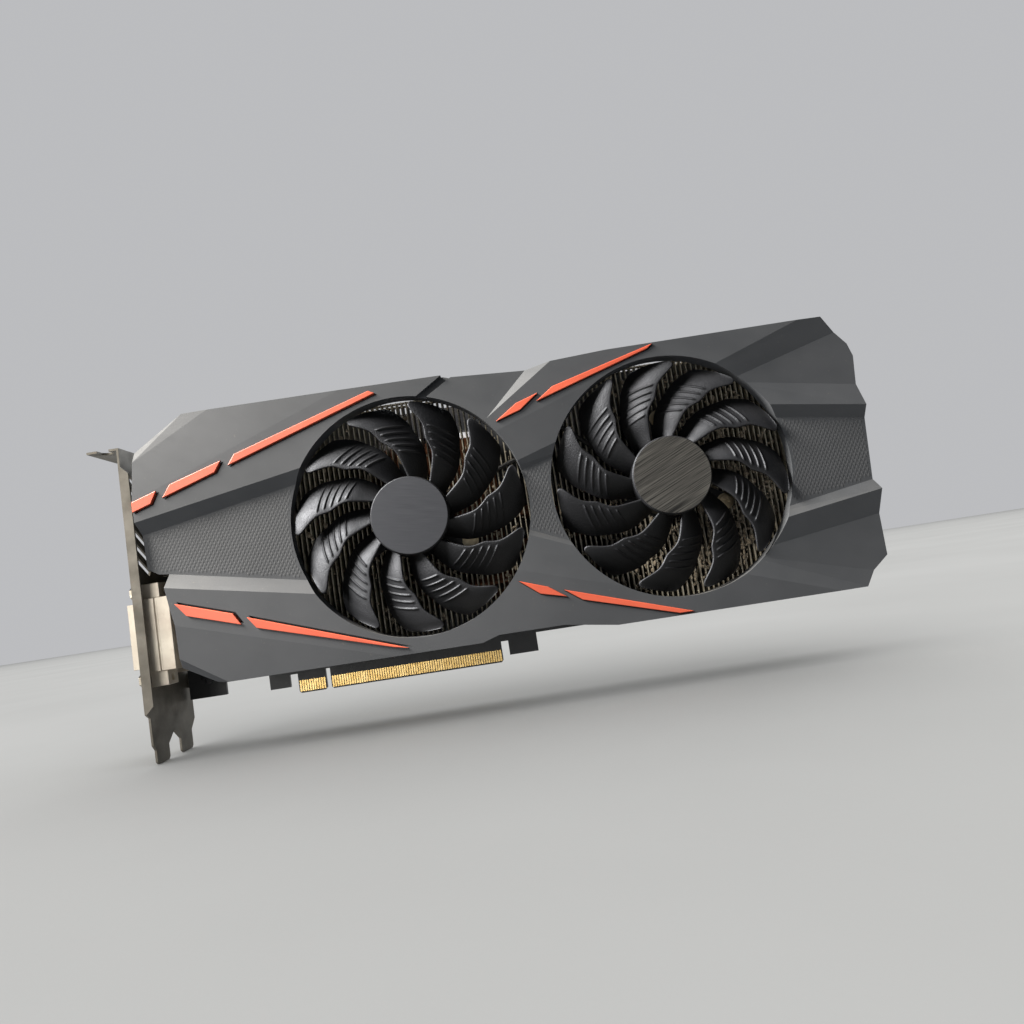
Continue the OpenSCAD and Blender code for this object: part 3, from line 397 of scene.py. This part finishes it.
# The backplate's black paint has the same kind of fine grain as a moulding.
BACK = moulded_plastic("backplate_metal", (0.010, 0.010, 0.011), (0.018, 0.018, 0.019), 0.0003, (0.34, 0.5))
LEFT_LABEL = brushed_foil("left_label_foil", (0.034, 0.036, 0.043), (0.056, 0.059, 0.068), turn=12,
                          lines=0.0002, contrast=0.55, roughness=(0.38, 0.5))
RIGHT_LABEL = brushed_foil("right_label_foil", (0.016, 0.016, 0.016), (0.135, 0.130, 0.120), turn=-24,
                           lines=0.0004, contrast=1.5)

FINISHES = {
    "bracket": STEEL, "bracket_screws": DARK_SCREW, "circuit_board": board_mask(),
    "edge_contacts": gold_plate(), "graphics_chip_base": laminate_green(), "graphics_chip_die": silicon(),
    "memory_chips": CHIP, "memory_pads": thermal_pad(), "power_transistors": CHIP, "power_chokes": FERRITE,
    "power_capacitors": CAN, "small_parts": CERAMIC, "power_socket": SOCKET, "power_pins": PIN,
    "fan_headers": HEADER, "dvi_shell": SHELL, "dvi_insert": INSERT, "dvi_jack_screws": NICKEL,
    "hdmi_shell": SHELL, "hdmi_tongue": SOCKET, "displayport_shells": SHELL, "displayport_tongues": SOCKET,
    "cold_plate": COPPER, "heat_pipes": COPPER, "near_fin_stack": fin_aluminium(),
    "cooler_screws": DARK_SCREW, "cooler_springs": NICKEL, "shroud": SLATE, "shroud_screws": DARK_SCREW,
    "left_fan_frame": FRAME, "right_fan_frame": FRAME, "left_bearing": BRONZE, "right_bearing": BRONZE,
    "left_stator": laminations(), "left_coils": windings(), "left_shaft": SHAFT, "right_shaft": SHAFT,
    "left_magnet": MAGNET, "right_magnet": MAGNET, "left_hub_label": LEFT_LABEL,
    "right_hub_label": RIGHT_LABEL, "fan_screws": WASHER, "left_fan_lead": LEAD, "right_fan_lead": LEAD,
    "backplate": BACK, "backplate_spacers": NICKEL, "backplate_screws": DARK_SCREW,
}
FINISHES["far_fin_stack"] = FINISHES["near_fin_stack"]
FINISHES["right_stator"] = FINISHES["left_stator"]
FINISHES["right_coils"] = FINISHES["left_coils"]
CORAL = strip_paint()
STRIPS = [f"strips_{place}" for place in ("upper_left", "lower_left", "upper_right", "lower_right")]
for name in STRIPS:
    FINISHES[name] = CORAL
for side in FAN_CENTRES:
    FINISHES[f"{side}_impeller"] = BLADE

for name, node in nodes.items():
    node.data.materials.clear()
    node.data.materials.append(FINISHES[name])


# ---------------------------------------------------------------- softened edges on the CAD parts

WELD_DISTANCE = 0.004 * MM
FLAT_ANGLE = 0.03


def soften(name, width, angle):
    """Rounds by width millimetres the edges that turn by more than angle degrees."""
    node = nodes[name]
    weld = node.modifiers.new("weld", "WELD")
    weld.merge_threshold = WELD_DISTANCE
    flat = node.modifiers.new("flat", "DECIMATE")
    flat.decimate_type = "DISSOLVE"
    flat.angle_limit = math.radians(FLAT_ANGLE)
    bevel = node.modifiers.new("bevel", "BEVEL")
    bevel.width = width * MM
    bevel.segments = 2
    bevel.limit_method = "ANGLE"
    bevel.angle_limit = math.radians(angle)
    bevel.harden_normals = False
    normals = node.modifiers.new("normals", "WEIGHTED_NORMAL")
    normals.keep_sharp = True


CORNER_ANGLE = 25
SHROUD_FOLD_ANGLE = 8
STRIP_EDGE = 0.18
SHROUD_EDGE = 0.35
EDGE_WIDTHS = {
    "bracket": 0.18, "dvi_shell": 0.2, "power_socket": 0.2, "hdmi_shell": 0.1, "displayport_shells": 0.1,
    "circuit_board": 0.08, "backplate": 0.2, "left_hub_label": 0.12, "right_hub_label": 0.12,
    "fan_screws": 0.1, "power_capacitors": 0.3, "power_chokes": 0.4, "memory_chips": 0.12,
}
soften("shroud", SHROUD_EDGE, SHROUD_FOLD_ANGLE)
for name in STRIPS:
    soften(name, STRIP_EDGE, CORNER_ANGLE)
for name, width in EDGE_WIDTHS.items():
    soften(name, width, CORNER_ANGLE)


# ---------------------------------------------------------------- mesh helpers

def add_object(name, data):
    obj = bpy.data.objects.new(name, data)
    bpy.context.scene.collection.objects.link(obj)
    return obj


def piece(name, verts, faces, material, body, smooth=True):
    """A new mesh piece in the frame's metres that rides on a body."""
    mesh = bpy.data.meshes.new(name)
    mesh.from_pydata(verts, [], faces)
    mesh.validate()
    mesh.polygons.foreach_set("use_smooth", [smooth] * len(mesh.polygons))
    mesh.materials.append(material)
    obj = add_object(name, mesh)
    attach(obj, body)
    return obj


def outward(obj):
    """Turns all faces to look out of their closed shape."""
    bm = bmesh.new()
    bm.from_mesh(obj.data)
    bmesh.ops.recalc_face_normals(bm, faces=bm.faces)
    bm.to_mesh(obj.data)
    bm.free()


def curve_through(points, t):
    """Smooth value at t of a line through (t, value) points, by Catmull-Rom spans."""
    last = len(points) - 1
    k = 0
    while k < last - 1 and t > points[k + 1][0]:
        k += 1
    (t0, v0), (t1, v1) = points[k], points[k + 1]
    before = points[max(k - 1, 0)]
    after = points[min(k + 2, last)]
    u = (t - t0) / (t1 - t0)
    m0 = (v1 - before[1]) / (t1 - before[0]) * (t1 - t0)
    m1 = (after[1] - v0) / (after[0] - t0) * (t1 - t0)
    return ((2 * u**3 - 3 * u**2 + 1) * v0 + (u**3 - 2 * u**2 + u) * m0
            + (3 * u**2 - 2 * u**3) * v1 + (u**3 - u**2) * m1)


# ---------------------------------------------------------------- impellers

# Lengths in millimetres. The two edges are (radius, angle in degrees) points from the root to the tip.
BLADES = 11
REST_TURN = {"left": 31.0, "right": 14.2}     # angle of each fan's first blade, in degrees
ROOT_R = 14.2
TIP_R = 43.7
FRONT_EDGE = [(ROOT_R, 33.5), (18.3, 28.6), (21.5, 25.8), (24, 23.6), (26, 21.1), (28.3, 16.9), (29.8, 14.2),
              (31.3, 12.9), (33.3, 11.6), (35.2, 10), (37.3, 7.2), (39.5, 3.8), (41.4, 1.4), (TIP_R, -0.4)]
REAR_EDGE = [(ROOT_R, 57.5), (20, 51.3), (23.5, 48.2), (27, 44.2), (29.8, 40.4), (32.2, 36.8), (34.8, 33.8),
             (37.2, 31), (39, 28.2), (41.5, 24.4), (TIP_R, 20.6)]
FRONT_CORNER = 2.4
REAR_CORNER = 1.1
BLADE_T = 1.05
RIB_RADII = [24.8 + 2.55 * k for k in range(5)]
RIB_HALF = 0.62     # half the width of a rib
RIB_RISE = 0.5
ACROSS = 26
# How far along the chord each row of the blade lies, closer together near both edges.
SHARES = [(1 - math.cos(math.pi * k / ACROSS)) / 2 for k in range(ACROSS + 1)]

HUB_R = 15.0
HUB_WALL = 1.4
HUB_REAR = 24.0
HUB_CEILING = 32.2
HUB_CHAMFER = 0.3
HUB_ROUNDING = 0.7
HUB_SIDES = 96
HUB_SETBACK = 0.4     # how far the cup's front lies behind the back of the label


def stations():
    """Radii of the blade's cross-sections: close together over each rib and at the tip."""
    radii = [ROOT_R + k for k in range(10)] + [36.6, 37.6, 38.7, 39.8, 40.8]
    for c in RIB_RADII:
        radii += [c + RIB_HALF * t for t in (-1.5, -1, -0.75, -0.5, -0.25, 0, 0.25, 0.5, 0.75, 1, 1.5)]
    radii += [TIP_R - FRONT_CORNER * (1 - math.sin(math.radians(a))) for a in (0, 20, 38, 52, 64, 74, 82, 87)]
    return sorted(radii) + [TIP_R]


def fade(value, low, high):
    """0 below low, 1 above high, smooth between."""
    t = max(0.0, min(1.0, (value - low) / (high - low)))
    return t * t * (3 - 2 * t)


def rib_height(r, share):
    """Five low ribs with round tops that follow the circle and fade towards the rear edge."""
    bump = sum(math.cos(math.pi / 2 * (r - c) / RIB_HALF) ** 2 for c in RIB_RADII if abs(r - c) < RIB_HALF)
    return RIB_RISE * bump * fade(share, 0.10, 0.15) * (1 - fade(share, 0.62, 0.96))


def face_depth(r, share):
    """Depth of the blade's face without its ribs: it falls away from its front edge."""
    front = 32.4 + 1.8 * fade(r, 12, 26) - 0.7 * fade(r, 40, 44)
    return front - (6 + 1.2 * fade(r, 28, 42)) * share**1.45


def turned_in(r, radius):
    """How far the outline has turned in at r, where the tip's corner is rounded by a radius."""
    reach = r - (TIP_R - radius)
    return radius - math.sqrt(max(0.0, radius**2 - reach**2)) if reach > 0 else 0.0


def blade_section(r):
    """Closed loop of (radius, angle, depth) round the blade at one radius."""
    degrees = math.degrees(1 / r)
    front = curve_through(FRONT_EDGE, r) + turned_in(r, FRONT_CORNER) * degrees
    rear = curve_through(REAR_EDGE, r) - turned_in(r, REAR_CORNER) * degrees
    taper = 1 - 0.75 * fade(r, TIP_R - 0.7, TIP_R)

    def at(share):
        return front + (rear - front) * share

    def thickness(share):
        return taper * (BLADE_T + 0.25 * math.sin(math.pi * share) - 0.55 * fade(share, 0.8, 1))

    top = [(r, at(s), face_depth(r, s) + rib_height(r, s)) for s in SHARES]
    under = [(r, at(s), face_depth(r, s) - thickness(s)) for s in reversed(SHARES)]
    half = taper * BLADE_T / 2
    nose = [(r, front - half * math.sin(a) * degrees, face_depth(r, 0) - half * (1 + math.cos(a)))
            for a in map(math.radians, (30, 60, 90, 120, 150))]
    return top + under + nose


def hub_profile():
    """Radius and depth along the hub cup: its inner wall, its rim, its outer wall and its front."""
    inside = HUB_R - HUB_WALL
    rim = [(inside, HUB_REAR + HUB_CHAMFER), (inside + HUB_CHAMFER, HUB_REAR),
           (HUB_R - HUB_CHAMFER, HUB_REAR), (HUB_R, HUB_REAR + HUB_CHAMFER)]
    front = LABEL_BACK - HUB_SETBACK
    rounding = [(HUB_R - HUB_ROUNDING * (1 - math.sin(a)), front - HUB_ROUNDING * (1 - math.cos(a)))
                for a in map(math.radians, range(90, -1, -15))]
    return [(inside, HUB_CEILING), *rim, *rounding, (0.05, front)]


def skin(rings):
    """Faces of a closed tube through rings of vertex numbers, with a flat face over each end."""
    count = len(rings[0])
    sides = [(lower[k], lower[(k + 1) % count], upper[(k + 1) % count], upper[k])
             for lower, upper in zip(rings, rings[1:]) for k in range(count)]
    return [*sides, tuple(rings[0]), tuple(reversed(rings[-1]))]


def impeller(side, mirror):
    """One fan's blades and hub cup. The left fan is the mirror image of the right one."""
    centre = FAN_CENTRES[side]
    verts, faces = [], []

    def put(r, angle, depth):
        a = math.radians(angle)
        x = -r * math.cos(a) if mirror else r * math.cos(a)
        verts.append((centre.x + x * MM, -depth * MM, centre.z + r * math.sin(a) * MM))
        return len(verts) - 1

    sections = [blade_section(r) for r in stations()]
    for blade in range(BLADES):
        turn = REST_TURN[side] + blade * 360 / BLADES
        faces += skin([[put(r, a + turn, d) for r, a, d in section] for section in sections])
    faces += skin([[put(r, 360 * k / HUB_SIDES, d) for k in range(HUB_SIDES)] for r, d in hub_profile()])

    obj = piece(f"{side}_ribbed_impeller", verts, faces, BLADE, f"{side}_fan")
    outward(obj)
    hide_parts(f"{side}_impeller")
    return obj


impellers = [impeller("left", True), impeller("right", False)]


# ---------------------------------------------------------------- diamond grain in the sunk bands

# Lengths in millimetres.
GRAIN_WIDTH = 1.5
GRAIN_HEIGHT = 2.4
GRAIN_RISE = 0.07
GRAIN_SUNK = 0.01
BAND_TOLERANCE = 0.1


def band_surface():
    """Lookup tree of the shroud's flat faces that lie at the depth of the sunk bands."""
    bm = bmesh.new()
    bm.from_mesh(nodes["shroud"].data)
    away = [f for f in bm.faces if f.normal.y > -0.99
            or any(abs(-v.co.y / MM - BAND_DEPTH) > BAND_TOLERANCE for v in f.verts)]
    bmesh.ops.delete(bm, geom=away, context="FACES")
    tree = BVHTree.FromBMesh(bm)
    bm.free()
    return tree


def build_grain():
    """Low four-sided pyramids on their corners, wherever a whole one fits on a sunk band."""
    band = band_surface()
    low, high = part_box("shroud")
    half_w, half_h = GRAIN_WIDTH * MM / 2, GRAIN_HEIGHT * MM / 2
    foot, crest = -(BAND_DEPTH - GRAIN_SUNK) * MM, -(BAND_DEPTH + GRAIN_RISE) * MM
    inwards = Vector((0, 1, 0))

    def on_band(x, z):
        return band.ray_cast(Vector((x, 2 * low.y, z)), inwards)[0] is not None

    verts, faces = [], []
    for row in range(int((high.z - low.z) / half_h)):
        for column in range(int((high.x - low.x) / (2 * half_w))):
            x = low.x + (2 * column + row % 2) * half_w
            z = low.z + row * half_h
            corners = [(x - half_w, z), (x, z - half_h), (x + half_w, z), (x, z + half_h)]
            if not all(on_band(cx, cz) for cx, cz in corners):
                continue
            n = len(verts)
            verts += [(cx, foot, cz) for cx, cz in corners] + [(x, crest, z)]
            faces += [(n + k, n + (k + 1) % 4, n + 4) for k in range(4)] + [(n + 3, n + 2, n + 1, n)]
    outward(piece("band_grain", verts, faces, BAND, "card", smooth=False))


build_grain()


# ---------------------------------------------------------------- dust caught between the fins

OPENING_R = 44.5


def add_tuft(verts, faces, centre, size):
    """An uneven flake of lint, wider than it is deep."""
    around, rings = 7, 3
    phase = random.uniform(0, 6.28)
    stretch = Vector((random.uniform(0.5, 1.3), random.uniform(0.25, 0.5), random.uniform(0.6, 1.9)))
    front = len(verts)
    verts.append(centre + Vector((0, -size * stretch.y, 0)))
    for ring in range(1, rings):
        tilt = math.pi * ring / rings
        for k in range(around):
            a = phase + 2 * math.pi * k / around
            r = size * random.uniform(0.65, 1.25) * math.sin(tilt)
            verts.append(centre + Vector((r * math.cos(a) * stretch.x, -size * math.cos(tilt) * stretch.y,
                                          r * math.sin(a) * stretch.z)))
    verts.append(centre + Vector((0, size * stretch.y, 0)))
    back = len(verts) - 1
    for k in range(around):
        n = (k + 1) % around
        faces.append((front, front + 1 + k, front + 1 + n))
        for ring in range(rings - 2):
            a, b = front + 1 + ring * around, front + 1 + (ring + 1) * around
            faces.append((a + k, b + k, b + n, a + n))
        last = front + 1 + (rings - 2) * around
        faces.append((last + k, back, last + n))


def add_fibre(verts, faces, centre, length):
    """A thin bent hair with three sides."""
    direction = Vector((random.uniform(-1, 1), 0, random.uniform(-1, 1))).normalized()
    side = Vector((-direction.z, 0, direction.x))
    bow = random.uniform(-0.35, 0.35) * length
    steps, r = 6, 0.07 * MM
    rings = []
    for k in range(steps + 1):
        t = k / steps
        p = centre + direction * (t - 0.5) * length + side * bow * (1 - (2 * t - 1) ** 2)
        rings.append(range(len(verts), len(verts) + 3))
        for a in (0, 2 * math.pi / 3, 4 * math.pi / 3):
            verts.append(p + side * r * math.cos(a) + Vector((0, -1, 0)) * r * math.sin(a))
    faces += skin(rings)


def fin_dust(side, node, tufts, fibres, towards, spread):
    """Lint on the fins' front edges inside one opening, thickest in the direction towards, in degrees."""
    centre = FAN_CENTRES[side]
    low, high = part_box(node)
    verts, faces = [], []
    made = 0
    while made < tufts + fibres:
        r = OPENING_R * MM * math.sqrt(random.uniform(0.12, 1.0))
        a = math.radians(random.gauss(towards, spread))
        x = centre.x + r * math.cos(a)
        z = centre.z + r * math.sin(a)
        if not (low.x + 2 * MM < x < high.x - 2 * MM and low.z + 6 * MM < z < high.z - 6 * MM):
            continue
        spot = Vector((x, -FIN_FRONT * MM + random.uniform(-0.1, 0.9) * MM, z))
        if made < tufts:
            add_tuft(verts, faces, spot, random.uniform(0.25, 0.9) * MM)
        else:
            add_fibre(verts, faces, spot + Vector((0, -0.2 * MM, 0)), random.uniform(2, 7) * MM)
        made += 1
    obj = piece(f"{side}_fin_dust", verts, faces, LINT, "card")
    outward(obj)
    return obj


LINT = lint()
dust = [fin_dust("right", "far_fin_stack", tufts=1500, fibres=90, towards=-40, spread=75),
        fin_dust("left", "near_fin_stack", tufts=420, fibres=50, towards=-60, spread=90)]


# ---------------------------------------------------------------- stage, camera and light

# The camera stands in front of the card, a little lower than its hubs. Its place is in millimetres, its
# angles are in degrees: turned to the left, tilted up and rolled.
CAMERA_PLACE = (147.45, -318.92, 32.35)
CAMERA_TURN = 0.39
CAMERA_TILT = 5.10
CAMERA_ROLL = -8.76
CAMERA_LENS = 26.86
FLOOR_HALF = 6.0     # metres


def floor():
    """A plain pale sheet under the bracket's lower tongue."""
    look = Look("floor", roughness=0.85, Specular_IOR_Level=0.2)
    look.paint(mottled(look, (0.56, 0.56, 0.55), (0.60, 0.60, 0.59), 0.25))
    look.bump(look.noise(0.002, 3), 0.00005)
    mesh = bpy.data.meshes.new("floor")
    corners = [(x * FLOOR_HALF, y * FLOOR_HALF, FLOOR_Z) for x, y in ((-1, -1), (1, -1), (1, 1), (-1, 1))]
    mesh.from_pydata(corners, [], [(0, 1, 2, 3)])
    mesh.materials.append(look.material)
    obj = add_object("floor", mesh)
    return obj


def camera():
    """Looks at the card's face slightly from below, rolled to the right."""
    data = bpy.data.cameras.new("camera")
    data.sensor_width = 36
    data.lens = CAMERA_LENS
    data.clip_start = 0.01
    data.clip_end = 50
    obj = add_object("camera", data)
    obj.matrix_world = (Matrix.Translation(Vector(CAMERA_PLACE) * MM)
                        @ Matrix.Rotation(math.radians(CAMERA_TURN), 4, "Z")
                        @ Matrix.Rotation(math.radians(90 + CAMERA_TILT), 4, "X")
                        @ Matrix.Rotation(math.radians(CAMERA_ROLL), 4, "Z"))
    bpy.context.scene.camera = obj


def dim_room():
    """A dim blue room, and a pale grey backdrop that only the camera sees."""
    world = bpy.data.worlds.new("studio")
    world.use_nodes = True
    tree = world.node_tree
    room = tree.nodes["Background"]
    room.inputs["Color"].default_value = (0.74, 0.85, 1.0, 1)
    room.inputs["Strength"].default_value = 0.07
    backdrop = tree.nodes.new("ShaderNodeBackground")
    backdrop.inputs["Color"].default_value = (0.50, 0.505, 0.52, 1)
    backdrop.inputs["Strength"].default_value = 1.0
    seen = tree.nodes.new("ShaderNodeLightPath")
    choice = tree.nodes.new("ShaderNodeMixShader")
    tree.links.new(seen.outputs["Is Camera Ray"], choice.inputs["Fac"])
    tree.links.new(room.outputs["Background"], choice.inputs[1])
    tree.links.new(backdrop.outputs["Background"], choice.inputs[2])
    tree.links.new(choice.outputs["Shader"], tree.nodes["World Output"].inputs["Surface"])
    bpy.context.scene.world = world


def area_light(name, place, target, size, power, colour, state, receivers):
    """A rectangular light that reaches only the receivers (INCLUDE), or everything but them (EXCLUDE)."""
    data = bpy.data.lights.new(name, "AREA")
    data.shape = "RECTANGLE"
    data.size, data.size_y = size
    data.energy = power
    data.color = colour
    obj = add_object(name, data)
    obj.location = place
    obj.rotation_mode = "QUATERNION"
    obj.rotation_quaternion = (Vector(target) - Vector(place)).to_track_quat("-Z", "Y")
    chosen = bpy.data.collections.new(f"receivers_of_{name}")
    for receiver in receivers:
        chosen.objects.link(receiver)
    obj.light_linking.receiver_collection = chosen
    for entry in chosen.collection_objects:
        entry.light_linking.link_state = state


def studio(ground):
    """A key from the upper left, almost along the card's face, and weaker lights beside it."""
    fins = [nodes[name] for name in ("near_fin_stack", "far_fin_stack", "heat_pipes", "fan_screws")] + dust
    metals = [nodes[name] for name in ("bracket", "bracket_screws", "dvi_shell", "dvi_insert",
                                       "dvi_jack_screws", "hdmi_shell", "displayport_shells")]
    card = (0.147, 0, 0.06)
    area_light("key", (-0.56, -0.18, 0.65), card, (0.3, 0.3), 70, (1.0, 0.95, 0.87),
               "EXCLUDE", [ground, *impellers, *fins, *metals])
    area_light("sky", (-1.20, -0.46, 1.25), card, (0.9, 0.9), 290, (0.98, 0.98, 1.0),
               "INCLUDE", impellers)
    area_light("side", (-0.62, -0.36, 0.55), card, (0.2, 0.2), 7, (1.0, 0.95, 0.86),
               "INCLUDE", metals)
    area_light("inside", (-0.62, -0.42, 0.55), card, (0.2, 0.2), 13, (1.0, 0.95, 0.86),
               "INCLUDE", fins)
    area_light("low", (-0.15, -0.60, 0.0), (0.10, 0, 0.005), (0.4, 0.4), 3.2, (1.0, 0.97, 0.90),
               "INCLUDE", [nodes["edge_contacts"]])
    area_light("fill", (-0.24, -0.46, 0.22), (0.04, 0, 0.04), (0.4, 0.4), 2.1, (1.0, 0.97, 0.92),
               "EXCLUDE", [ground, *impellers, *fins])
    area_light("back", (0.5, 1.0, 0.7), card, (1.0, 0.6), 8, (0.92, 0.96, 1.0),
               "EXCLUDE", [ground, *fins])
    area_light("overhead", (0.2, 1.0, 3.0), (0.2, 1.0, 0), (12, 12), 520, (1.0, 0.995, 0.98),
               "INCLUDE", [ground])


camera()
dim_room()
studio(floor())
bpy.context.scene.view_settings.view_transform = "Standard"
